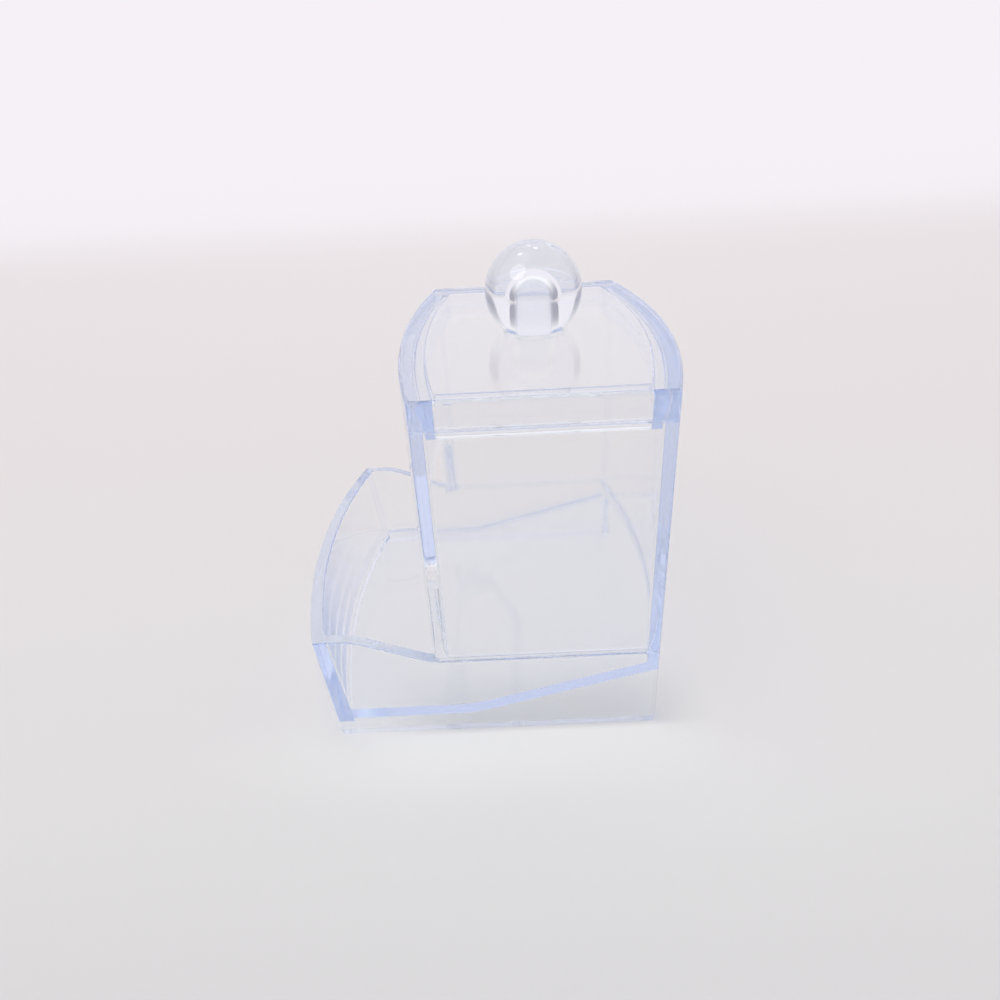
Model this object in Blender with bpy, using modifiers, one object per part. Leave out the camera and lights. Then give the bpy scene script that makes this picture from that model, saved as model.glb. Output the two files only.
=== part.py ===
"""A clear cotton swab dispenser: a tray, a tower on its base, and a lift-off lid with a ball knob.

Metres, +Z up. +X is to the right and the tray is at -X. -Y is the near side, and the near and far
panels are parallel to XZ. The origin is on the ground, under the middle of the whole object's box.
"""

import math

import bmesh
import bpy
from mathutils import Matrix

MM = 0.001

# Overall sizes. A swab lies along Y, so the inside depth follows from its length.
SWAB_LENGTH = 76.0 * MM
SWAB_PLAY = 2.2 * MM
WALL = 2.9 * MM
BASE_WIDTH = 77.4 * MM  # near panel, corner to corner
TRAY_LENGTH = 27.0 * MM  # near panel's left corner to the tower
TRAY_BULGE = 5.8 * MM  # rise of the left end wall's arc
TOWER_BULGE = 6.1 * MM  # rise of the arc of the tower's right wall
DIVIDER_BULGE = 4.8 * MM  # and of its left one
TRAY_DRAFT = 2.5 * MM  # how far the left end wall leans in at the ground, outside
TRAY_INNER_DRAFT = 3.6 * MM  # and inside, so that the wall thickens downwards
SHARP_RADIUS = 0.8 * MM

# Heights of the base's rim and floor
RIM_HEIGHT = 28.6 * MM
SEAM_HEIGHT = 21.5 * MM  # where the tower stands on the base
RIM_FLAT = 8.2 * MM  # level stretch of the tray's rim before it dips
RIM_DIP_END = 26.4 * MM  # where the dip reaches the seam's height
RIM_BLEND = 14.0 * MM
FLOOR_UNDERSIDE = 3.6 * MM
FLOOR_THICKNESS = 2.9 * MM
END_WALL_RISE = 2.6 * MM  # the left end wall's foot above the ground, between the two panels
RAMP_START = 34.6 * MM
RAMP_SLOPE = 0.266
RAMP_BLEND = 38.0 * MM

# Tower
TOWER_HEIGHT = 56.4 * MM
BOND_GAP = 0.3 * MM  # the bond line between the tower and the base
WINDOW_HEIGHT = 23.8 * MM  # above the seam
WINDOW_POST = 4.0 * MM  # divider left standing beside each panel
WINDOW_RADIUS = 6.0 * MM

# Lid
LID_SEAT_GAP = 0.3 * MM
LID_RIM_HEIGHT = 6.0 * MM
LID_PLATE = 2.1 * MM
PLUG_CLEARANCE = 0.35 * MM
PLUG_WALL = 2.3 * MM
PLUG_DEPTH = 2.4 * MM

# Knob, a ball on a peg
KNOB_RADIUS = 10.95 * MM
KNOB_FOOT_RADIUS = 7.1 * MM
KNOB_SEAT_GAP = 0.3 * MM
BORE_RADIUS = 4.3 * MM
BORE_TOP_ABOVE_CENTRE = 3.1 * MM
PEG_CLEARANCE = 0.3 * MM

# Clear plastic
TINT = (0.80, 0.87, 0.97, 1.0)
ROUGHNESS = 0.03
REFRACTIVE_INDEX = 1.49

# Facets
BULGE_STEPS = 16
CORNER_STEPS = 3
BLEND_STEPS = 4
TURN_STEPS = 32
BALL_STEPS = 12
DOME_STEPS = 5
SHARP_EDGE = math.radians(30)
PAST = 4.0 * MM  # how far a cutter runs past what it cuts
JOIN_OVERLAP = 1.0 * MM  # how far a joined part is sunk into the one that it joins
WELD = 0.001 * MM  # points closer than this are one point

DEPTH = SWAB_LENGTH + SWAB_PLAY + 2 * WALL
HALF_DEPTH = DEPTH / 2
LEFT = TRAY_BULGE - (TRAY_BULGE + BASE_WIDTH + TOWER_BULGE) / 2  # near panel's left corner
RIGHT = LEFT + BASE_WIDTH
TOWER_LEFT = LEFT + TRAY_LENGTH
PAST_LEFT = LEFT - TRAY_BULGE - PAST
PAST_RIGHT = RIGHT + TOWER_BULGE + PAST
ABOVE_RIM = RIM_HEIGHT + 2 * PAST
BELOW_GROUND = -2 * PAST
LID_MIDDLE = (TOWER_LEFT - DIVIDER_BULGE + RIGHT + TOWER_BULGE) / 2
TOWER_FOOT = SEAM_HEIGHT + BOND_GAP
TOWER_TOP = TOWER_FOOT + TOWER_HEIGHT
LID_SEAT = TOWER_TOP + LID_SEAT_GAP
LID_TOP = LID_SEAT + LID_RIM_HEIGHT
KNOB_FOOT = LID_TOP + KNOB_SEAT_GAP
KNOB_CENTRE = KNOB_FOOT + math.sqrt(KNOB_RADIUS**2 - KNOB_FOOT_RADIUS**2)
BORE_DOME = KNOB_CENTRE + BORE_TOP_ABOVE_CENTRE - BORE_RADIUS  # centre of the bore's domed end


def clear_scene():
    for obj in list(bpy.data.objects):
        bpy.data.objects.remove(obj)


def collection(name):
    made = bpy.data.collections.new(name)
    bpy.context.scene.collection.children.link(made)
    return made


def clear_plastic(name):
    material = bpy.data.materials.new(name)
    material.use_nodes = True
    shader = material.node_tree.nodes["Principled BSDF"]
    shader.inputs["Base Color"].default_value = TINT
    shader.inputs["Roughness"].default_value = ROUGHNESS
    shader.inputs["Metallic"].default_value = 0.0
    shader.inputs["Transmission Weight"].default_value = 1.0
    shader.inputs["IOR"].default_value = REFRACTIVE_INDEX
    return material


def on_arc(centre, radius, start, end, steps):
    """Points along an arc, both ends included. Angles are in radians."""
    angles = [start + (end - start) * i / steps for i in range(steps + 1)]
    return [(centre[0] + radius * math.cos(a), centre[1] + radius * math.sin(a)) for a in angles]


def bulged_side(corner_x, bulge, inset):
    """One side wall's line in plan, from the near panel to the far one, bulging towards +X.

    It is inset from the outer face, and its corners are rounded into the two panels.
    """
    big_radius = (HALF_DEPTH**2 + bulge**2) / (2 * bulge)
    centre_x = corner_x + bulge - big_radius
    radius = big_radius - inset
    corner_y = HALF_DEPTH - inset - SHARP_RADIUS
    corner_offset = math.sqrt((radius - SHARP_RADIUS) ** 2 - corner_y**2)
    turn = math.atan2(corner_y, corner_offset)
    near_corner = (centre_x + corner_offset, -corner_y)
    far_corner = (centre_x + corner_offset, corner_y)
    points = on_arc(near_corner, SHARP_RADIUS, -math.pi / 2, -turn, CORNER_STEPS)
    points += on_arc((centre_x, 0.0), radius, -turn, turn, BULGE_STEPS)[1:-1]
    points += on_arc(far_corner, SHARP_RADIUS, turn, math.pi / 2, CORNER_STEPS)
    return points


def mirrored(points):
    """The same line on the other side of X = 0, run the other way."""
    return [(-x, y) for x, y in reversed(points)]


def base_plan(inset):
    right = bulged_side(RIGHT, TOWER_BULGE, inset)
    left = bulged_side(-LEFT, TRAY_BULGE, inset)
    return right + mirrored(left)


def tower_plan(inset):
    right = bulged_side(RIGHT, TOWER_BULGE, inset)
    left = bulged_side(-TOWER_LEFT, DIVIDER_BULGE, inset)
    return right + mirrored(left)


def blended(before, corner, after, radius):
    """An arc that rounds the corner between two straight runs."""
    into = math.atan2(corner[1] - before[1], corner[0] - before[0])
    out = math.atan2(after[1] - corner[1], after[0] - corner[0])
    turn = (out - into + math.pi) % (2 * math.pi) - math.pi
    back = radius * math.tan(abs(turn) / 2)
    side = math.copysign(math.pi / 2, turn)
    start = (corner[0] - back * math.cos(into), corner[1] - back * math.sin(into))
    centre = (start[0] + radius * math.cos(into + side), start[1] + radius * math.sin(into + side))
    return on_arc(centre, radius, into - side, into - side + turn, BLEND_STEPS)


def floor_line(lift):
    """The floor's line in XZ, from the left to past the right end, raised by lift."""
    level = FLOOR_UNDERSIDE + lift
    far_left = (PAST_LEFT, level)
    foot = (LEFT + RAMP_START, level)
    far_right = (PAST_RIGHT, level + RAMP_SLOPE * (PAST_RIGHT - foot[0]))
    return [far_left, *blended(far_left, foot, far_right, RAMP_BLEND), far_right]


def rim_line():
    """The base's top edge in XZ, from past the left end to past the right end."""
    far_left = (PAST_LEFT, RIM_HEIGHT)
    crest = (LEFT + RIM_FLAT, RIM_HEIGHT)
    foot = (LEFT + RIM_DIP_END, SEAM_HEIGHT)
    far_right = (PAST_RIGHT, SEAM_HEIGHT)
    dip = blended(far_left, crest, foot, RIM_BLEND) + blended(crest, foot, far_right, RIM_BLEND)
    return [far_left, *dip, far_right]


def extruded(name, outline, low, high, along, owner):
    """A closed outline filled and extruded from low to high along X, Y or Z, as a mesh object."""
    curve = bpy.data.curves.new(name, "CURVE")
    curve.dimensions = "2D"
    curve.fill_mode = "BOTH"
    curve.extrude = (high - low) / 2
    spline = curve.splines.new("POLY")
    spline.points.add(len(outline) - 1)
    for point, (u, v) in zip(spline.points, outline):
        point.co = (u, v, 0.0, 1.0)
    spline.use_cyclic_u = True
    guide = bpy.data.objects.new(name + "_outline", curve)
    owner.objects.link(guide)
    graph = bpy.context.evaluated_depsgraph_get()
    mesh = bpy.data.meshes.new_from_object(guide.evaluated_get(graph))
    bpy.data.objects.remove(guide)
    middle = (low + high) / 2
    places = {
        "X": lambda u, v, w: (w + middle, u, v),
        "Y": lambda u, v, w: (u, w + middle, v),
        "Z": lambda u, v, w: (u, v, w + middle),
    }
    for vertex in mesh.vertices:
        vertex.co = places[along](*vertex.co)
    work = bmesh.new()
    work.from_mesh(mesh)
    bmesh.ops.remove_doubles(work, verts=work.verts, dist=WELD)
    bmesh.ops.recalc_face_normals(work, faces=work.faces)
    work.to_mesh(mesh)
    work.free()
    obj = bpy.data.objects.new(name, mesh)
    owner.objects.link(obj)
    return obj


def turned(name, profile, location, owner):
    """A profile of (radius, height) turned about Z, from the top of its outer side."""
    mesh = bpy.data.meshes.new(name)
    edges = [(i, i + 1) for i in range(len(profile) - 1)]
    mesh.from_pydata([(r, 0.0, z) for r, z in profile], edges, [])
    obj = bpy.data.objects.new(name, mesh)
    obj.location = location
    owner.objects.link(obj)
    screw = obj.modifiers.new("Turn", "SCREW")
    screw.steps = TURN_STEPS
    screw.render_steps = TURN_STEPS
    screw.use_merge_vertices = True
    screw.merge_threshold = WELD
    screw.use_smooth_shade = True
    return obj


def helper(obj):
    obj.hide_render = True
    obj.display_type = "WIRE"
    return obj


def lifter(name, location):
    """An empty on the line along which the lid and its knob lift."""
    empty = bpy.data.objects.new(name, None)
    empty.location = location
    bpy.context.scene.collection.objects.link(empty)
    return empty


def carry(empty, obj):
    """Parents a piece to the empty and leaves it where it is."""
    obj.parent = empty
    obj.matrix_parent_inverse = Matrix.Translation(empty.location).inverted()


def combine(obj, operation, other):
    step = obj.modifiers.new(f"{operation.title()} {other.name}", "BOOLEAN")
    step.operation = operation
    step.solver = "EXACT"
    step.object = other


def lean_left_end(obj, draft):
    """Draws the left end in towards the ground, more the lower a point is."""
    for vertex in obj.data.vertices:
        if vertex.co.x < LEFT + RIM_FLAT:
            vertex.co.x += draft * (1 - vertex.co.z / RIM_HEIGHT)


def finish(obj, material):
    obj.data.materials.append(material)
    for polygon in obj.data.polygons:
        polygon.use_smooth = True
    obj.data.set_sharp_from_angle(angle=SHARP_EDGE)


def base_tray(parts, cutters, material):
    """The base moulding: panels to the ground, a bulging wall at each end, and a floor that ramps up."""
    base = extruded("base_tray", base_plan(0), 0.0, RIM_HEIGHT + PAST, "Z", parts)
    lean_left_end(base, TRAY_DRAFT)

    above_rim = rim_line() + [
        (PAST_RIGHT, ABOVE_RIM),
        (PAST_LEFT, ABOVE_RIM),
    ]
    rim_cut = extruded("rim_cut", above_rim, -HALF_DEPTH - PAST, HALF_DEPTH + PAST, "Y", cutters)
    combine(base, "DIFFERENCE", helper(rim_cut))

    above_floor = floor_line(FLOOR_THICKNESS) + [
        (PAST_RIGHT, ABOVE_RIM),
        (PAST_LEFT, ABOVE_RIM),
    ]
    over_floor = extruded("over_floor", above_floor, -HALF_DEPTH, HALF_DEPTH, "Y", cutters)
    tray_cut = extruded("tray_cut", base_plan(WALL), 0.0, RIM_HEIGHT + PAST, "Z", cutters)
    lean_left_end(tray_cut, TRAY_INNER_DRAFT)
    combine(tray_cut, "INTERSECT", helper(over_floor))
    combine(base, "DIFFERENCE", helper(tray_cut))

    inner_left = mirrored(bulged_side(-LEFT, TRAY_BULGE, WALL))
    far_y = inner_left[0][1]
    under_plan = [(PAST_RIGHT, -far_y), (PAST_RIGHT, far_y), *inner_left]
    below_floor = floor_line(0.0) + [
        (PAST_RIGHT, BELOW_GROUND),
        (PAST_LEFT, BELOW_GROUND),
    ]
    under_floor = extruded("under_floor", below_floor, -HALF_DEPTH, HALF_DEPTH, "Y", cutters)
    hollow_cut = extruded("hollow_cut", under_plan, -PAST, RIM_HEIGHT, "Z", cutters)
    lean_left_end(hollow_cut, TRAY_INNER_DRAFT)
    combine(hollow_cut, "INTERSECT", helper(under_floor))
    combine(base, "DIFFERENCE", helper(hollow_cut))

    end_plan = [(PAST_LEFT, -far_y), (0.0, -far_y), (0.0, far_y), (PAST_LEFT, far_y)]
    end_cut = extruded("end_cut", end_plan, -PAST, END_WALL_RISE, "Z", cutters)
    combine(base, "DIFFERENCE", helper(end_cut))
    finish(base, material)


def window_outline():
    """The window in the divider in YZ: square at its foot, rounded at its top corners."""
    half = HALF_DEPTH - WALL - WINDOW_POST
    foot = TOWER_FOOT - PAST
    top = SEAM_HEIGHT + WINDOW_HEIGHT
    low_right, high_right = (half, foot), (half, top)
    low_left, high_left = (-half, foot), (-half, top)
    right = blended(low_right, high_right, high_left, WINDOW_RADIUS)
    left = blended(high_right, high_left, low_left, WINDOW_RADIUS)
    return [low_right, *right, *left, low_left]


def swab_tower(parts, cutters, material):
    """Four walls, open at both ends, with a window at the foot of the left one."""
    tower = extruded("swab_tower", tower_plan(0), TOWER_FOOT, TOWER_TOP, "Z", parts)
    chamber = extruded("chamber_cut", tower_plan(WALL), TOWER_FOOT - PAST, TOWER_TOP + PAST, "Z", cutters)
    combine(tower, "DIFFERENCE", helper(chamber))
    window = extruded(
        "window_cut",
        window_outline(),
        TOWER_LEFT - DIVIDER_BULGE - PAST,
        TOWER_LEFT + WALL + PAST,
        "X",
        cutters,
    )
    combine(tower, "DIFFERENCE", helper(window))
    finish(tower, material)


def dome(radius, centre_z):
    """Profile points from the top of a dome on the axis down to its widest point."""
    return on_arc((0.0, centre_z), radius, math.pi / 2, 0.0, DOME_STEPS)


def lid(parts, cutters, material, lift):
    """A plate with a rim on the tower, a plug ring inside it and a peg on top."""
    plug_inset = WALL + PLUG_CLEARANCE
    cover = extruded("lid", tower_plan(0), LID_SEAT, LID_TOP, "Z", parts)
    plug_foot = TOWER_TOP - PLUG_DEPTH
    plug = extruded("plug", tower_plan(plug_inset), plug_foot, LID_SEAT + JOIN_OVERLAP, "Z", cutters)
    combine(cover, "UNION", helper(plug))
    recess = extruded(
        "lid_recess", tower_plan(plug_inset + PLUG_WALL), plug_foot - PAST, LID_TOP - LID_PLATE, "Z", cutters
    )
    combine(cover, "DIFFERENCE", helper(recess))

    peg_radius = BORE_RADIUS - PEG_CLEARANCE
    peg_foot = LID_TOP - JOIN_OVERLAP
    profile = dome(peg_radius, BORE_DOME) + [(peg_radius, peg_foot), (0.0, peg_foot)]
    peg = turned("peg", profile, (LID_MIDDLE, 0.0, 0.0), cutters)
    combine(cover, "UNION", helper(peg))
    finish(cover, material)
    carry(lift, cover)


def lid_knob(parts, material, lift):
    """A ball with a flat foot and a blind bore, turned about the peg's axis."""
    foot_angle = -math.acos(KNOB_FOOT_RADIUS / KNOB_RADIUS)
    outside = on_arc((0.0, KNOB_CENTRE), KNOB_RADIUS, math.pi / 2, foot_angle, BALL_STEPS)
    bore = [(BORE_RADIUS, KNOB_FOOT), *reversed(dome(BORE_RADIUS, BORE_DOME))]
    knob = turned("lid_knob", outside + bore, (LID_MIDDLE, 0.0, 0.0), parts)
    knob.data.materials.append(material)
    carry(lift, knob)


def main():
    clear_scene()
    parts = collection("cotton_swab_dispenser")
    cutters = collection("cutters")
    base_tray(parts, cutters, clear_plastic("base_plastic"))
    swab_tower(parts, cutters, clear_plastic("tower_plastic"))
    lift = lifter("lid_lift", (LID_MIDDLE, 0.0, LID_SEAT))
    lid(parts, cutters, clear_plastic("lid_plastic"), lift)
    lid_knob(parts, clear_plastic("knob_plastic"), lift)


main()
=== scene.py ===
"""A clear cotton swab dispenser on a pale floor, seen from the front and above.

The CAD pieces are kept as the frame, and each one is replaced by a finer piece of the same size:
the same walls with small edge fillets, smooth bulges and a clear, faintly blue plastic.
"""

import math

import bmesh
import bpy
from mathutils import Matrix, Vector

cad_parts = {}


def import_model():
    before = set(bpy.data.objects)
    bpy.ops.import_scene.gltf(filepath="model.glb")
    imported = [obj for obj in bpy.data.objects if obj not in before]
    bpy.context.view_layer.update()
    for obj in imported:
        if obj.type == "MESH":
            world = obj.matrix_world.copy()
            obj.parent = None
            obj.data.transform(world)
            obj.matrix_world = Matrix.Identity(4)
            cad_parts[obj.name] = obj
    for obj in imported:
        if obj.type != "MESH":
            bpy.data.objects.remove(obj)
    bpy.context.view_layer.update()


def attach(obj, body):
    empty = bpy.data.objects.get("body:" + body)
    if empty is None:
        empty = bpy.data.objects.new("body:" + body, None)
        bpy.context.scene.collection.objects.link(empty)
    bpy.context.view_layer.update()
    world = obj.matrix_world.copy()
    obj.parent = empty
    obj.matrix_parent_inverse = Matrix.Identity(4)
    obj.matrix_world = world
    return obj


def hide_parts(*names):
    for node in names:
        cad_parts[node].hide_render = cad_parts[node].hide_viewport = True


MM = 0.001

# Sizes of the model, as in the CAD
WALL = 2.9 * MM
DEPTH = 84.0 * MM
BASE_WIDTH = 77.4 * MM
TRAY_LENGTH = 27.0 * MM
TRAY_BULGE = 5.8 * MM
TOWER_BULGE = 6.1 * MM
DIVIDER_BULGE = 4.8 * MM
TRAY_DRAFT = 2.5 * MM
TRAY_INNER_DRAFT = 3.6 * MM
SHARP_RADIUS = 0.8 * MM

RIM_HEIGHT = 28.6 * MM
SEAM_HEIGHT = 21.5 * MM
RIM_FLAT = 8.2 * MM
RIM_DIP_END = 26.4 * MM
RIM_BLEND = 14.0 * MM
FLOOR_UNDERSIDE = 3.6 * MM
FLOOR_THICKNESS = 2.9 * MM
END_WALL_RISE = 2.6 * MM
RAMP_START = 34.6 * MM
RAMP_SLOPE = 0.266
RAMP_BLEND = 38.0 * MM

TOWER_HEIGHT = 56.4 * MM
BOND_GAP = 0.3 * MM
WINDOW_HEIGHT = 23.8 * MM
WINDOW_POST = 4.0 * MM
WINDOW_RADIUS = 6.0 * MM

LID_SEAT_GAP = 0.3 * MM
LID_RIM_HEIGHT = 6.0 * MM
LID_PLATE = 2.1 * MM
PLUG_CLEARANCE = 0.35 * MM
PLUG_WALL = 2.3 * MM
PLUG_DEPTH = 2.4 * MM

KNOB_RADIUS = 10.95 * MM
KNOB_FOOT_RADIUS = 7.1 * MM
KNOB_SEAT_GAP = 0.3 * MM
BORE_RADIUS = 4.3 * MM
BORE_TOP_ABOVE_CENTRE = 3.1 * MM
PEG_CLEARANCE = 0.3 * MM

# Fillets that the CAD leaves out
LID_EDGE = 1.0 * MM
FINE_EDGE = 0.3 * MM
SEAM_EDGE = 0.12 * MM
POST_EDGE = 1.4 * MM

BULGE_STEPS = 64
CORNER_STEPS = 12
BLEND_STEPS = 20
FILLET_STEPS = 4
LID_EDGE_STEPS = 6
TURN_STEPS = 128
BALL_STEPS = 48
DOME_STEPS = 20
SHARP_EDGE = math.radians(30)
CRISP_ANGLE = math.radians(50)
LEVEL_NORMAL = 0.99
ON_LINE = 0.02 * MM
LONG_EDGE = 1.0 * MM
PAST = 4.0 * MM
JOIN_OVERLAP = 1.0 * MM
WELD = 0.0005 * MM
CONTACT_BAND = 0.05 * MM

HALF_DEPTH = DEPTH / 2
LEFT = TRAY_BULGE - (TRAY_BULGE + BASE_WIDTH + TOWER_BULGE) / 2
RIGHT = LEFT + BASE_WIDTH
TOWER_LEFT = LEFT + TRAY_LENGTH
PAST_LEFT = LEFT - TRAY_BULGE - PAST
PAST_RIGHT = RIGHT + TOWER_BULGE + PAST
ABOVE_RIM = RIM_HEIGHT + 2 * PAST
BELOW_GROUND = -2 * PAST
LID_MIDDLE = (TOWER_LEFT - DIVIDER_BULGE + RIGHT + TOWER_BULGE) / 2
TOWER_FOOT = SEAM_HEIGHT + BOND_GAP
TOWER_TOP = TOWER_FOOT + TOWER_HEIGHT
LID_SEAT = TOWER_TOP + LID_SEAT_GAP
LID_TOP = LID_SEAT + LID_RIM_HEIGHT
KNOB_FOOT = LID_TOP + KNOB_SEAT_GAP
KNOB_CENTRE = KNOB_FOOT + math.sqrt(KNOB_RADIUS**2 - KNOB_FOOT_RADIUS**2)
BORE_DOME = KNOB_CENTRE + BORE_TOP_ABOVE_CENTRE - BORE_RADIUS

# Clear plastic: what it does to light, and how closely touching faces are pressed together
INDEX = 1.49
DEPTH_BLUE = (0.35, 0.58, 1.0, 1.0)
FACE_TINT = (0.992, 0.998, 1.0, 1.0)
KNOB_TINT = (1.0, 1.0, 1.0, 1.0)
SHADOW_TINT = (0.975, 0.980, 0.988, 1.0)
RIPPLE_SCALE = 70.0
RIPPLE_DETAIL = 1.5
RIPPLE_HEIGHT = 0.004 * MM
BONDED = 1.0
STANDING = 0.6
RESTING = 0.5

# Stage, in metres: the camera looks along +Y, and the floor curves up into the backdrop
STAGE_FRONT = -2.5
STAGE_HALF_WIDTH = 2.5
BACKDROP_HALF_WIDTH = 1.0
BACKDROP_Y = 0.95
BACKDROP_TOP = 1.6
COVE_RADIUS = 0.25
COVE_STEPS = 24
BELOW_FEET = 0.0001
# Floor colours from front to back, lighter further back: painted light
FLOOR_NEAR = -0.10
FLOOR_FAR = 0.70
FLOOR_NEAR_COLOUR = (0.745, 0.735, 0.742, 1.0)
FLOOR_STOPS = (
    (0.04, (0.780, 0.772, 0.776, 1.0)),
    (0.14, (0.81, 0.782, 0.788, 1.0)),
    (0.26, (0.815, 0.777, 0.785, 1.0)),
)
FLOOR_FAR_COLOUR = (0.87, 0.835, 0.85, 1.0)
FLOOR_DIM_COLOUR = (0.42, 0.42, 0.48, 1.0)
# Painted shadow on the floor behind the near panel's foot and under the ramp
SHADE_COLOUR = (0.64, 0.635, 0.65, 1.0)
SHADE_MIDDLE = 0.012
SHADE_SIDES = (0.045, 0.015)
SHADE_BEHIND = (-0.018, -0.038)
SHADE_IN_FRONT = (-0.0440, -0.0415)
# Painted pool of light on the floor in front of the near panel
POOL_COLOUR = (0.85, 0.845, 0.84, 1.0)
POOL_MIDDLE = (-0.008, -0.049, 0.0)
POOL_REACH = (0.076, 0.019, 1.0)
BACKDROP_COLOUR = (0.915, 0.878, 0.925, 1.0)
HORIZON_COLOUR = (0.40, 0.39, 0.45, 1.0)
SKY_COLOUR = (1.0, 1.0, 1.0, 1.0)
SKY_STRENGTH = 0.76
FLOOR_SIDES = (0.50, 1.00)
FLOOR_FRONT = (-0.30, -0.80)
BACKDROP_SIDES = (0.76, 0.99)
BACKDROP_FOOT = (0.30, 0.60)
BACKDROP_START = (0.45, 0.85)
HORIZON = (0.05, 0.75)
AIM = (0.0, 0.0, 0.04)

# Camera, fitted to the object's edges
SENSOR_WIDTH = 36.0
LENS = 25.85
CAMERA_PLACE = (5.79 * MM, -163.78 * MM, 134.41 * MM)
CAMERA_PITCH = 0.5288
CAMERA_YAW = -0.0109
CAMERA_ROLL = -0.0532
CLIP_START = 0.001


# Outlines


def on_arc(centre, radius, start, end, steps):
    angles = [start + (end - start) * i / steps for i in range(steps + 1)]
    return [(centre[0] + radius * math.cos(a), centre[1] + radius * math.sin(a)) for a in angles]


def bulged_side(corner_x, bulge, inset):
    """One side wall's line in plan, from the near panel to the far one, bulging towards +X."""
    big_radius = (HALF_DEPTH**2 + bulge**2) / (2 * bulge)
    centre_x = corner_x + bulge - big_radius
    radius = big_radius - inset
    corner_y = HALF_DEPTH - inset - SHARP_RADIUS
    corner_offset = math.sqrt((radius - SHARP_RADIUS) ** 2 - corner_y**2)
    turn = math.atan2(corner_y, corner_offset)
    near_corner = (centre_x + corner_offset, -corner_y)
    far_corner = (centre_x + corner_offset, corner_y)
    points = on_arc(near_corner, SHARP_RADIUS, -math.pi / 2, -turn, CORNER_STEPS)
    points += on_arc((centre_x, 0.0), radius, -turn, turn, BULGE_STEPS)[1:-1]
    points += on_arc(far_corner, SHARP_RADIUS, turn, math.pi / 2, CORNER_STEPS)
    return points


def mirrored(points):
    return [(-x, y) for x, y in reversed(points)]


def base_plan(inset):
    right = bulged_side(RIGHT, TOWER_BULGE, inset)
    left = bulged_side(-LEFT, TRAY_BULGE, inset)
    return right + mirrored(left)


def tower_plan(inset):
    right = bulged_side(RIGHT, TOWER_BULGE, inset)
    left = bulged_side(-TOWER_LEFT, DIVIDER_BULGE, inset)
    return right + mirrored(left)


def blended(before, corner, after, radius):
    """An arc that rounds the corner between two straight runs."""
    into = math.atan2(corner[1] - before[1], corner[0] - before[0])
    out = math.atan2(after[1] - corner[1], after[0] - corner[0])
    turn = (out - into + math.pi) % (2 * math.pi) - math.pi
    back = radius * math.tan(abs(turn) / 2)
    side = math.copysign(math.pi / 2, turn)
    start = (corner[0] - back * math.cos(into), corner[1] - back * math.sin(into))
    centre = (start[0] + radius * math.cos(into + side), start[1] + radius * math.sin(into + side))
    return on_arc(centre, radius, into - side, into - side + turn, BLEND_STEPS)


def floor_line(lift):
    level = FLOOR_UNDERSIDE + lift
    far_left = (PAST_LEFT, level)
    foot = (LEFT + RAMP_START, level)
    far_right = (PAST_RIGHT, level + RAMP_SLOPE * (PAST_RIGHT - foot[0]))
    return [far_left, *blended(far_left, foot, far_right, RAMP_BLEND), far_right]


def rim_line():
    far_left = (PAST_LEFT, RIM_HEIGHT)
    crest = (LEFT + RIM_FLAT, RIM_HEIGHT)
    foot = (LEFT + RIM_DIP_END, SEAM_HEIGHT)
    far_right = (PAST_RIGHT, SEAM_HEIGHT)
    dip = blended(far_left, crest, foot, RIM_BLEND) + blended(crest, foot, far_right, RIM_BLEND)
    return [far_left, *dip, far_right]


# Meshes


def new_object(name, mesh):
    obj = bpy.data.objects.new(name, mesh)
    bpy.context.scene.collection.objects.link(obj)
    return obj


def extruded(name, outline, low, high, along):
    """A closed outline filled and extruded from low to high along X, Y or Z."""
    places = {
        "X": lambda u, v, w: (w, u, v),
        "Y": lambda u, v, w: (u, w, v),
        "Z": lambda u, v, w: (u, v, w),
    }
    work = bmesh.new()
    first = [work.verts.new(places[along](u, v, low)) for u, v in outline]
    last = [work.verts.new(places[along](u, v, high)) for u, v in outline]
    work.faces.new(first)
    work.faces.new(last)
    for i in range(len(outline)):
        j = (i + 1) % len(outline)
        work.faces.new((first[i], first[j], last[j], last[i]))
    bmesh.ops.recalc_face_normals(work, faces=work.faces)
    mesh = bpy.data.meshes.new(name)
    work.to_mesh(mesh)
    work.free()
    return new_object(name, mesh)


def swept(name, plan, profile, closed):
    """Rings of a plan outline at each (inset, height) of a profile, joined into walls.

    A closed profile makes a tube. An open one is capped by a flat face at each end.
    """
    work = bmesh.new()
    rings = []
    for inset, z in profile:
        rings.append([work.verts.new((x, y, z)) for x, y in plan(inset)])
    count = len(rings[0])
    pairs = list(zip(rings, rings[1:]))
    if closed:
        pairs.append((rings[-1], rings[0]))
    else:
        work.faces.new(rings[0])
        work.faces.new(rings[-1])
    for low, high in pairs:
        for i in range(count):
            j = (i + 1) % count
            work.faces.new((low[i], low[j], high[j], high[i]))
    bmesh.ops.recalc_face_normals(work, faces=work.faces)
    mesh = bpy.data.meshes.new(name)
    work.to_mesh(mesh)
    work.free()
    return new_object(name, mesh)


def rounded(corners):
    """A profile of (inset, height, radius) corners, each rounded by its radius."""
    points = []
    count = len(corners)
    for i, (u, v, radius) in enumerate(corners):
        if not radius:
            points.append((u, v))
            continue
        before = corners[i - 1][:2]
        after = corners[(i + 1) % count][:2]
        into = math.atan2(v - before[1], u - before[0])
        out = math.atan2(after[1] - v, after[0] - u)
        turn = (out - into + math.pi) % (2 * math.pi) - math.pi
        side = math.copysign(math.pi / 2, turn)
        back = radius * math.tan(abs(turn) / 2)
        start = (u - back * math.cos(into), v - back * math.sin(into))
        centre = (start[0] + radius * math.cos(into + side), start[1] + radius * math.sin(into + side))
        points += on_arc(centre, radius, into - side, into - side + turn, FILLET_STEPS)
    return points


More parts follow.
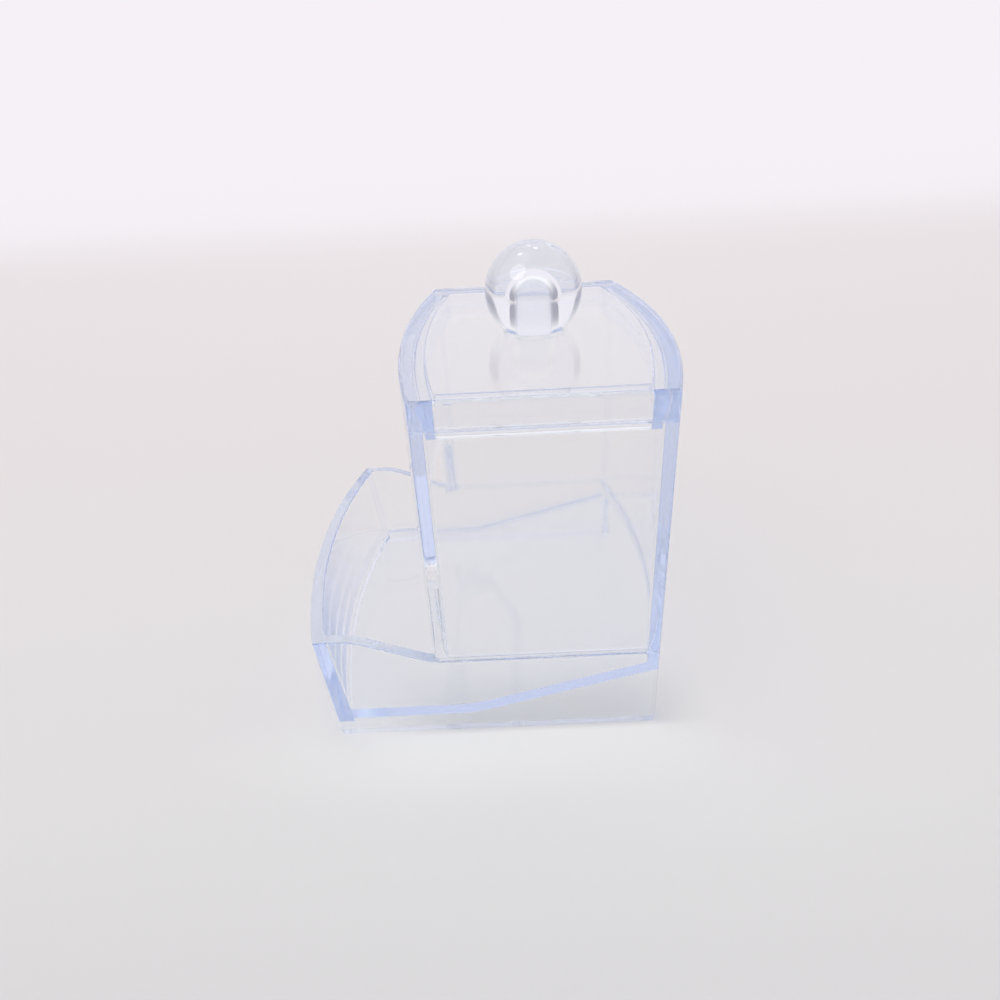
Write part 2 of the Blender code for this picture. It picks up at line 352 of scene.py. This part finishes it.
def turned(name, profile, centre_x):
    """A profile of (radius, height), from the top of its outer side, turned about a vertical line."""
    mesh = bpy.data.meshes.new(name)
    edges = [(i, i + 1) for i in range(len(profile) - 1)]
    mesh.from_pydata([(r, 0.0, z) for r, z in profile], edges, [])
    obj = new_object(name, mesh)
    obj.location = (centre_x, 0.0, 0.0)
    screw = obj.modifiers.new("Turn", "SCREW")
    screw.steps = TURN_STEPS
    screw.render_steps = TURN_STEPS
    screw.use_merge_vertices = True
    screw.merge_threshold = WELD
    return obj


def combine(obj, operation, other):
    step = obj.modifiers.new(f"{operation.title()} {other.name}", "BOOLEAN")
    step.operation = operation
    step.solver = "EXACT"
    step.object = other


def settled(obj, helpers):
    """Bakes an object's modifiers into its mesh and removes the helpers."""
    bpy.context.view_layer.update()
    graph = bpy.context.evaluated_depsgraph_get()
    mesh = bpy.data.meshes.new_from_object(obj.evaluated_get(graph))
    mesh.transform(obj.matrix_world)
    obj.modifiers.clear()
    obj.data = mesh
    obj.location = (0.0, 0.0, 0.0)
    for helper in helpers:
        bpy.data.objects.remove(helper)
    return obj


def lean_left_end(obj, draft):
    for vertex in obj.data.vertices:
        if vertex.co.x < LEFT + RIM_FLAT:
            vertex.co.x += draft * (1 - vertex.co.z / RIM_HEIGHT)


def smoothed(obj, material):
    """Smooth bulges and fillets, flat panels and crisp edges."""
    mesh = obj.data
    mesh.materials.clear()
    mesh.materials.append(material)
    for polygon in mesh.polygons:
        polygon.material_index = 0
        polygon.use_smooth = True
    mesh.set_sharp_from_angle(angle=SHARP_EDGE)
    weighted = obj.modifiers.new("Flat panels", "WEIGHTED_NORMAL")
    weighted.mode = "FACE_AREA"
    weighted.weight = 100
    weighted.keep_sharp = True


def soften_edges(obj, width, wanted):
    """Rounds the crisp edges that wanted accepts, given both ends' places."""
    work = bmesh.new()
    work.from_mesh(obj.data)
    bmesh.ops.remove_doubles(work, verts=work.verts, dist=WELD)
    edges = []
    for edge in work.edges:
        if len(edge.link_faces) == 2 and edge.calc_face_angle() > CRISP_ANGLE:
            if wanted(edge.verts[0].co, edge.verts[1].co):
                edges.append(edge)
    bmesh.ops.bevel(
        work,
        geom=edges,
        offset=width,
        offset_type="OFFSET",
        segments=FILLET_STEPS,
        profile=0.5,
        affect="EDGES",
        clamp_overlap=False,
    )
    work.to_mesh(obj.data)
    work.free()


# The dispenser's pieces


def rim_height_at(x):
    line = rim_line()
    for (x0, z0), (x1, z1) in zip(line, line[1:]):
        if x0 <= x <= x1:
            return z0 + (z1 - z0) * (x - x0) / max(x1 - x0, WELD)
    return SEAM_HEIGHT


def base_tray(material):
    base = extruded("clear_base", base_plan(0), 0.0, RIM_HEIGHT + PAST, "Z")
    lean_left_end(base, TRAY_DRAFT)

    above_rim = rim_line() + [(PAST_RIGHT, ABOVE_RIM), (PAST_LEFT, ABOVE_RIM)]
    rim_cut = extruded("rim_cut", above_rim, -HALF_DEPTH - PAST, HALF_DEPTH + PAST, "Y")
    combine(base, "DIFFERENCE", rim_cut)

    above_floor = floor_line(FLOOR_THICKNESS) + [(PAST_RIGHT, ABOVE_RIM), (PAST_LEFT, ABOVE_RIM)]
    over_floor = extruded("over_floor", above_floor, -HALF_DEPTH, HALF_DEPTH, "Y")
    tray_cut = extruded("tray_cut", base_plan(WALL), 0.0, RIM_HEIGHT + PAST, "Z")
    lean_left_end(tray_cut, TRAY_INNER_DRAFT)
    combine(tray_cut, "INTERSECT", over_floor)
    combine(base, "DIFFERENCE", tray_cut)

    inner_left = mirrored(bulged_side(-LEFT, TRAY_BULGE, WALL))
    far_y = inner_left[0][1]
    under_plan = [(PAST_RIGHT, -far_y), (PAST_RIGHT, far_y), *inner_left]
    below_floor = floor_line(0.0) + [(PAST_RIGHT, BELOW_GROUND), (PAST_LEFT, BELOW_GROUND)]
    under_floor = extruded("under_floor", below_floor, -HALF_DEPTH, HALF_DEPTH, "Y")
    hollow_cut = extruded("hollow_cut", under_plan, -PAST, RIM_HEIGHT, "Z")
    lean_left_end(hollow_cut, TRAY_INNER_DRAFT)
    combine(hollow_cut, "INTERSECT", under_floor)
    combine(base, "DIFFERENCE", hollow_cut)

    end_plan = [(PAST_LEFT, -far_y), (0.0, -far_y), (0.0, far_y), (PAST_LEFT, far_y)]
    end_cut = extruded("end_cut", end_plan, -PAST, END_WALL_RISE, "Z")
    combine(base, "DIFFERENCE", end_cut)
    settled(base, (rim_cut, over_floor, tray_cut, under_floor, hollow_cut, end_cut))

    def on_rim(a, b):
        return all(abs(p.z - rim_height_at(p.x)) < ON_LINE for p in (a, b))

    soften_edges(base, FINE_EDGE, on_rim)
    mark_contact(base, SEAM_HEIGHT, TOWER_LEFT - DIVIDER_BULGE, BONDED)
    mark_contact(base, 0.0, PAST_LEFT, STANDING)
    smoothed(base, material)
    return base


def window_outline():
    half = HALF_DEPTH - WALL - WINDOW_POST
    foot = TOWER_FOOT - PAST
    top = SEAM_HEIGHT + WINDOW_HEIGHT
    low_right, high_right = (half, foot), (half, top)
    low_left, high_left = (-half, foot), (-half, top)
    right = blended(low_right, high_right, high_left, WINDOW_RADIUS)
    left = blended(high_right, high_left, low_left, WINDOW_RADIUS)
    return [low_right, *right, *left, low_left]


def swab_tower(material):
    corners = [
        (0.0, TOWER_FOOT, FINE_EDGE),
        (0.0, TOWER_TOP, SEAM_EDGE),
        (WALL, TOWER_TOP, FINE_EDGE),
        (WALL, TOWER_FOOT, FINE_EDGE),
    ]
    tower = swept("clear_tower", tower_plan, rounded(corners), True)
    window = extruded(
        "window_cut",
        window_outline(),
        TOWER_LEFT - DIVIDER_BULGE - PAST,
        TOWER_LEFT + WALL + PAST,
        "X",
    )
    combine(tower, "DIFFERENCE", window)
    settled(tower, (window,))

    def beside_window(a, b):
        half = HALF_DEPTH - WALL - WINDOW_POST
        on_cut = all(abs(abs(p.y) - half) < ON_LINE for p in (a, b))
        return on_cut and abs(a.z - b.z) > LONG_EDGE

    soften_edges(tower, POST_EDGE, beside_window)
    mark_contact(tower, TOWER_FOOT, PAST_LEFT, BONDED)
    mark_contact(tower, TOWER_TOP, PAST_LEFT, RESTING)
    smoothed(tower, material)
    return tower


def dome(radius, centre_z):
    return on_arc((0.0, centre_z), radius, math.pi / 2, 0.0, DOME_STEPS)


def lid(material):
    plug = WALL + PLUG_CLEARANCE
    recess = plug + PLUG_WALL
    plug_foot = TOWER_TOP - PLUG_DEPTH
    underside = LID_TOP - LID_PLATE
    edge_centre = (LID_EDGE, LID_TOP - LID_EDGE)
    profile = on_arc(edge_centre, LID_EDGE, math.pi / 2, math.pi, LID_EDGE_STEPS)
    lower = [
        (0.0, LID_TOP - LID_EDGE, 0.0),
        (0.0, LID_SEAT, SEAM_EDGE),
        (plug, LID_SEAT, 0.0),
        (plug, plug_foot, FINE_EDGE),
        (recess, plug_foot, FINE_EDGE),
        (recess, underside, FINE_EDGE),
        (2 * recess, underside, 0.0),
    ]
    profile += rounded(lower)[1:-1]
    cover = swept("clear_lid", tower_plan, profile, False)

    peg_radius = BORE_RADIUS - PEG_CLEARANCE
    peg_foot = LID_TOP - JOIN_OVERLAP
    peg = turned("peg", dome(peg_radius, BORE_DOME) + [(peg_radius, peg_foot), (0.0, peg_foot)], LID_MIDDLE)
    combine(cover, "UNION", peg)
    settled(cover, (peg,))
    mark_contact(cover, LID_SEAT, PAST_LEFT, RESTING)
    smoothed(cover, material)
    return cover


def lid_knob(material):
    foot_angle = -math.acos(KNOB_FOOT_RADIUS / KNOB_RADIUS)
    outside = on_arc((0.0, KNOB_CENTRE), KNOB_RADIUS, math.pi / 2, foot_angle, BALL_STEPS)
    bore = [(BORE_RADIUS, KNOB_FOOT), *reversed(dome(BORE_RADIUS, BORE_DOME))]
    knob = turned("clear_knob", outside + bore, LID_MIDDLE)
    settled(knob, ())
    smoothed(knob, material)
    return knob


# Materials


def math_node(tree, operation, first, second):
    made = tree.nodes.new("ShaderNodeMath")
    made.operation = operation
    for socket, value in zip(made.inputs, (first, second)):
        if isinstance(value, float):
            socket.default_value = value
        else:
            tree.links.new(value, socket)
    return made.outputs[0]


def fade(tree, value, start, end):
    """0 where the value is at start, 1 at end, and a smooth run between them."""
    made = tree.nodes.new("ShaderNodeMapRange")
    made.interpolation_type = "SMOOTHSTEP"
    made.inputs["From Min"].default_value = start
    made.inputs["From Max"].default_value = end
    tree.links.new(value, made.inputs["Value"])
    return made.outputs[0]


def mixed(tree, share, first, second):
    """A colour between two, each of them a socket or a plain colour."""
    made = tree.nodes.new("ShaderNodeMix")
    made.data_type = "RGBA"
    tree.links.new(share, made.inputs[0])
    for socket, colour in ((made.inputs[6], first), (made.inputs[7], second)):
        if isinstance(colour, tuple):
            socket.default_value = colour
        else:
            tree.links.new(colour, socket)
    return made.outputs[2]


def vector_node(tree, operation, vector, by):
    made = tree.nodes.new("ShaderNodeVectorMath")
    made.operation = operation
    tree.links.new(vector, made.inputs[0])
    made.inputs[1].default_value = by
    return made.outputs[0]


def mark_contact(obj, height, left, share):
    """Marks the level faces at a height that touch another piece, and how closely they do."""
    mesh = obj.data
    contact = mesh.attributes.get("contact") or mesh.attributes.new("contact", "FLOAT", "FACE")
    for polygon in mesh.polygons:
        level = abs(polygon.normal.z) > LEVEL_NORMAL and abs(polygon.center.z - height) < CONTACT_BAND
        if level and polygon.center.x > left:
            contact.data[polygon.index].value = share


def clear_plastic(name, density, roughness, tint):
    """Clear plastic that tints light along its way through, with the faint waviness of a moulding."""
    material = bpy.data.materials.new(name)
    material.use_nodes = True
    tree = material.node_tree
    tree.nodes.clear()
    out = tree.nodes.new("ShaderNodeOutputMaterial")
    body = tree.nodes.new("ShaderNodeBsdfPrincipled")
    body.inputs["Base Color"].default_value = tint
    body.inputs["Roughness"].default_value = roughness
    body.inputs["Transmission Weight"].default_value = 1.0
    body.inputs["IOR"].default_value = INDEX

    place = tree.nodes.new("ShaderNodeTexCoord")
    ripple = tree.nodes.new("ShaderNodeTexNoise")
    ripple.inputs["Scale"].default_value = RIPPLE_SCALE
    ripple.inputs["Detail"].default_value = RIPPLE_DETAIL
    bump = tree.nodes.new("ShaderNodeBump")
    bump.inputs["Strength"].default_value = 1.0
    bump.inputs["Distance"].default_value = RIPPLE_HEIGHT
    tree.links.new(place.outputs["Object"], ripple.inputs["Vector"])
    tree.links.new(ripple.outputs["Fac"], bump.inputs["Height"])
    tree.links.new(bump.outputs["Normal"], body.inputs["Normal"])

    through = tree.nodes.new("ShaderNodeBsdfTransparent")
    through.inputs["Color"].default_value = SHADOW_TINT
    path = tree.nodes.new("ShaderNodeLightPath")
    contact = tree.nodes.new("ShaderNodeAttribute")
    contact.attribute_name = "contact"
    plain = math_node(tree, "MAXIMUM", path.outputs["Is Shadow Ray"], contact.outputs["Fac"])
    surface = tree.nodes.new("ShaderNodeMixShader")
    tree.links.new(plain, surface.inputs[0])
    tree.links.new(body.outputs[0], surface.inputs[1])
    tree.links.new(through.outputs[0], surface.inputs[2])
    tree.links.new(surface.outputs[0], out.inputs["Surface"])

    depth = tree.nodes.new("ShaderNodeVolumeAbsorption")
    depth.inputs["Color"].default_value = DEPTH_BLUE
    depth.inputs["Density"].default_value = density
    tree.links.new(depth.outputs[0], out.inputs["Volume"])
    return material


# Stage, light and camera


def seen_rays(tree):
    """1 for what the camera sees directly, in a reflection or through glass, 0 for light on a surface."""
    path = tree.nodes.new("ShaderNodeLightPath")
    seen = math_node(tree, "MAXIMUM", path.outputs["Is Camera Ray"], path.outputs["Is Glossy Ray"])
    seen = math_node(tree, "MAXIMUM", seen, path.outputs["Is Transmission Ray"])
    direct = math_node(tree, "LESS_THAN", path.outputs["Diffuse Depth"], 0.5)
    return math_node(tree, "MULTIPLY", seen, direct)


def in_shade(tree, across, along):
    """1 where a painted shadow lies on the floor, behind the near panel's foot and under the ramp, 0 away
    from them.
    """
    aside = math_node(tree, "ABSOLUTE", math_node(tree, "SUBTRACT", across, SHADE_MIDDLE), 0.0)
    middle = fade(tree, aside, *SHADE_SIDES)
    behind = fade(tree, along, *SHADE_BEHIND)
    in_front = fade(tree, along, *SHADE_IN_FRONT)
    shade = math_node(tree, "MULTIPLY", behind, in_front)
    return math_node(tree, "MULTIPLY", shade, middle)


def in_pool(tree, position):
    """1 in the middle of the painted pool of light that the near panel throws on the floor in front of it,
    0 outside.
    """
    offset = vector_node(tree, "SUBTRACT", position, POOL_MIDDLE)
    scaled = vector_node(tree, "DIVIDE", offset, POOL_REACH)
    distance = tree.nodes.new("ShaderNodeVectorMath")
    distance.operation = "LENGTH"
    tree.links.new(scaled, distance.inputs[0])
    return fade(tree, distance.outputs["Value"], 1.0, 0.0)


def stage_material():
    """A pale floor that runs into a white backdrop, with painted light and shade on it."""
    material = bpy.data.materials.new("pale_sweep")
    material.use_nodes = True
    tree = material.node_tree
    tree.nodes.clear()
    out = tree.nodes.new("ShaderNodeOutputMaterial")
    place = tree.nodes.new("ShaderNodeNewGeometry")
    split = tree.nodes.new("ShaderNodeSeparateXYZ")
    tree.links.new(place.outputs["Position"], split.inputs[0])
    # The floor's colour grows lighter from the front towards the backdrop: painted light, in place of
    # brighter light further back
    along = tree.nodes.new("ShaderNodeMapRange")
    along.inputs["From Min"].default_value = FLOOR_NEAR
    along.inputs["From Max"].default_value = FLOOR_FAR
    tree.links.new(split.outputs["Y"], along.inputs["Value"])
    ramp = tree.nodes.new("ShaderNodeValToRGB")
    tree.links.new(along.outputs[0], ramp.inputs[0])
    ramp.color_ramp.elements[0].color = FLOOR_NEAR_COLOUR
    ramp.color_ramp.elements[1].color = FLOOR_FAR_COLOUR
    for place_along, colour in FLOOR_STOPS:
        ramp.color_ramp.elements.new(place_along).color = colour
    # A painted pool of light on the floor in front of the near panel
    lit = mixed(tree, in_pool(tree, place.outputs["Position"]), ramp.outputs[0], POOL_COLOUR)
    # A painted shadow on the floor behind the near panel's foot and under the ramp
    shade = in_shade(tree, split.outputs["X"], split.outputs["Y"])
    shaded = mixed(tree, shade, lit, SHADE_COLOUR)

    # The floor looks darker far to the sides and in front, which gives the clear knob its darker rims
    aside = math_node(tree, "ABSOLUTE", split.outputs["X"], 0.0)
    edge = fade(tree, aside, *FLOOR_SIDES)
    front = fade(tree, split.outputs["Y"], *FLOOR_FRONT)
    dim = math_node(tree, "MAXIMUM", edge, front)
    dim = math_node(tree, "MULTIPLY", dim, seen_rays(tree))
    matte = tree.nodes.new("ShaderNodeBsdfDiffuse")
    tree.links.new(mixed(tree, dim, shaded, FLOOR_DIM_COLOUR), matte.inputs["Color"])

    glow = tree.nodes.new("ShaderNodeEmission")
    glow.inputs["Color"].default_value = BACKDROP_COLOUR
    far = fade(tree, split.outputs["Y"], *BACKDROP_START)
    share = math_node(tree, "MULTIPLY", far, seen_rays(tree))
    mix = tree.nodes.new("ShaderNodeMixShader")
    tree.links.new(share, mix.inputs[0])
    tree.links.new(matte.outputs[0], mix.inputs[1])
    tree.links.new(glow.outputs[0], mix.inputs[2])

    # The backdrop's sides fade out into the sky behind them
    open_share = math_node(
        tree,
        "MULTIPLY",
        fade(tree, aside, *BACKDROP_SIDES),
        fade(tree, split.outputs["Y"], *BACKDROP_FOOT),
    )
    open_share = math_node(tree, "MULTIPLY", open_share, seen_rays(tree))
    faded = tree.nodes.new("ShaderNodeMixShader")
    tree.links.new(open_share, faded.inputs[0])
    tree.links.new(mix.outputs[0], faded.inputs[1])
    tree.links.new(tree.nodes.new("ShaderNodeBsdfTransparent").outputs[0], faded.inputs[2])
    tree.links.new(faded.outputs[0], out.inputs["Surface"])
    return material


def sweep():
    """Floor, cove and backdrop in one sheet, which narrows from the floor to the backdrop."""
    cove = on_arc((BACKDROP_Y - COVE_RADIUS, COVE_RADIUS), COVE_RADIUS, -math.pi / 2, 0.0, COVE_STEPS)
    line = [(STAGE_FRONT, 0.0), (0.0, 0.0), *cove, (BACKDROP_Y, BACKDROP_TOP)]
    points = []
    for y, z in line:
        half_width = STAGE_HALF_WIDTH if y <= 0.0 else BACKDROP_HALF_WIDTH
        points.append((-half_width, y, z - BELOW_FEET))
        points.append((half_width, y, z - BELOW_FEET))
    faces = [(2 * i, 2 * i + 1, 2 * i + 3, 2 * i + 2) for i in range(len(line) - 1)]
    mesh = bpy.data.meshes.new("sweep")
    mesh.from_pydata(points, [], faces)
    for polygon in mesh.polygons:
        polygon.use_smooth = True
    mesh.materials.append(stage_material())
    obj = new_object("sweep", mesh)
    return obj


def world():
    """Even light on every surface, seen as a sky that is darker towards the horizon."""
    made = bpy.data.worlds.new("studio")
    bpy.context.scene.world = made
    made.use_nodes = True
    tree = made.node_tree
    tree.nodes.clear()
    out = tree.nodes.new("ShaderNodeOutputWorld")
    light = tree.nodes.new("ShaderNodeBackground")
    light.inputs["Color"].default_value = SKY_COLOUR
    light.inputs["Strength"].default_value = SKY_STRENGTH
    seen = tree.nodes.new("ShaderNodeBackground")
    place = tree.nodes.new("ShaderNodeTexCoord")
    split = tree.nodes.new("ShaderNodeSeparateXYZ")
    tree.links.new(place.outputs["Generated"], split.inputs[0])
    ramp = tree.nodes.new("ShaderNodeValToRGB")
    ramp.color_ramp.elements[0].color = HORIZON_COLOUR
    ramp.color_ramp.elements[1].color = SKY_COLOUR
    tree.links.new(fade(tree, split.outputs["Z"], *HORIZON), ramp.inputs[0])
    tree.links.new(ramp.outputs[0], seen.inputs["Color"])
    mix = tree.nodes.new("ShaderNodeMixShader")
    tree.links.new(seen_rays(tree), mix.inputs[0])
    tree.links.new(light.outputs[0], mix.inputs[1])
    tree.links.new(seen.outputs[0], mix.inputs[2])
    tree.links.new(mix.outputs[0], out.inputs["Surface"])
    made.cycles.sampling_method = "NONE"


def sun(name, direction, strength, spread):
    data = bpy.data.lights.new(name, "SUN")
    data.energy = strength
    data.angle = math.radians(spread)
    obj = bpy.data.objects.new(name, data)
    obj.rotation_euler = Vector(direction).to_track_quat("-Z", "Y").to_euler()
    obj.visible_transmission = False
    bpy.context.scene.collection.objects.link(obj)
    return obj


def lamp(name, place, size, power):
    data = bpy.data.lights.new(name, "AREA")
    data.shape = "DISK"
    data.size = size
    data.energy = power
    obj = bpy.data.objects.new(name, data)
    obj.location = place
    aim = Vector(AIM) - Vector(place)
    obj.rotation_euler = aim.to_track_quat("-Z", "Y").to_euler()
    obj.visible_transmission = False
    bpy.context.scene.collection.objects.link(obj)
    return obj


def camera():
    data = bpy.data.cameras.new("camera")
    data.sensor_width = SENSOR_WIDTH
    data.lens = LENS
    data.clip_start = CLIP_START
    obj = bpy.data.objects.new("camera", data)
    bpy.context.scene.collection.objects.link(obj)
    out = math.cos(CAMERA_PITCH)
    forward = Vector((math.sin(CAMERA_YAW) * out, math.cos(CAMERA_YAW) * out, -math.sin(CAMERA_PITCH)))
    level = Vector((math.cos(CAMERA_YAW), -math.sin(CAMERA_YAW), 0.0))
    above = level.cross(forward)
    right = math.cos(CAMERA_ROLL) * level + math.sin(CAMERA_ROLL) * above
    up = math.cos(CAMERA_ROLL) * above - math.sin(CAMERA_ROLL) * level
    place = Matrix((right, up, -forward)).transposed().to_4x4()
    place.translation = CAMERA_PLACE
    obj.matrix_world = place
    bpy.context.scene.camera = obj


def look():
    scene = bpy.context.scene
    scene.view_settings.view_transform = "Standard"
    # Light is guided along the walls by many reflections before it leaves at their edges
    scene.cycles.max_bounces = 64
    scene.cycles.glossy_bounces = 64
    scene.cycles.transmission_bounces = 48
    scene.cycles.transparent_max_bounces = 32
    scene.cycles.blur_glossy = 0.0
    scene.cycles.caustics_reflective = True


def main():
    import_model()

    # Maker, slot, CAD node, body, absorption density, roughness and surface colour
    pieces = (
        (base_tray, "base_plastic", "base_tray", "dispenser", 6.5, 0.07, FACE_TINT),
        (swab_tower, "tower_plastic", "swab_tower", "dispenser", 5.5, 0.08, FACE_TINT),
        (lid, "lid_plastic", "lid", "lid", 8.0, 0.08, FACE_TINT),
        (lid_knob, "knob_plastic", "lid_knob", "lid", 5.0, 0.0, KNOB_TINT),
    )
    for make, slot, part, body, density, roughness, colour in pieces:
        material = clear_plastic("clear_" + slot, density, roughness, colour)
        piece = make(material)
        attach(piece, body)
        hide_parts(part)

    sweep()
    world()
    sun("key", direction=(0.55, 0.35, -0.75), strength=0.75, spread=35.0)
    lamp("back", place=(0.10, 0.42, 0.80), size=0.10, power=0.12)
    lamp("top", place=(-0.22, 0.24, 0.75), size=0.10, power=0.12)
    camera()
    look()


main()
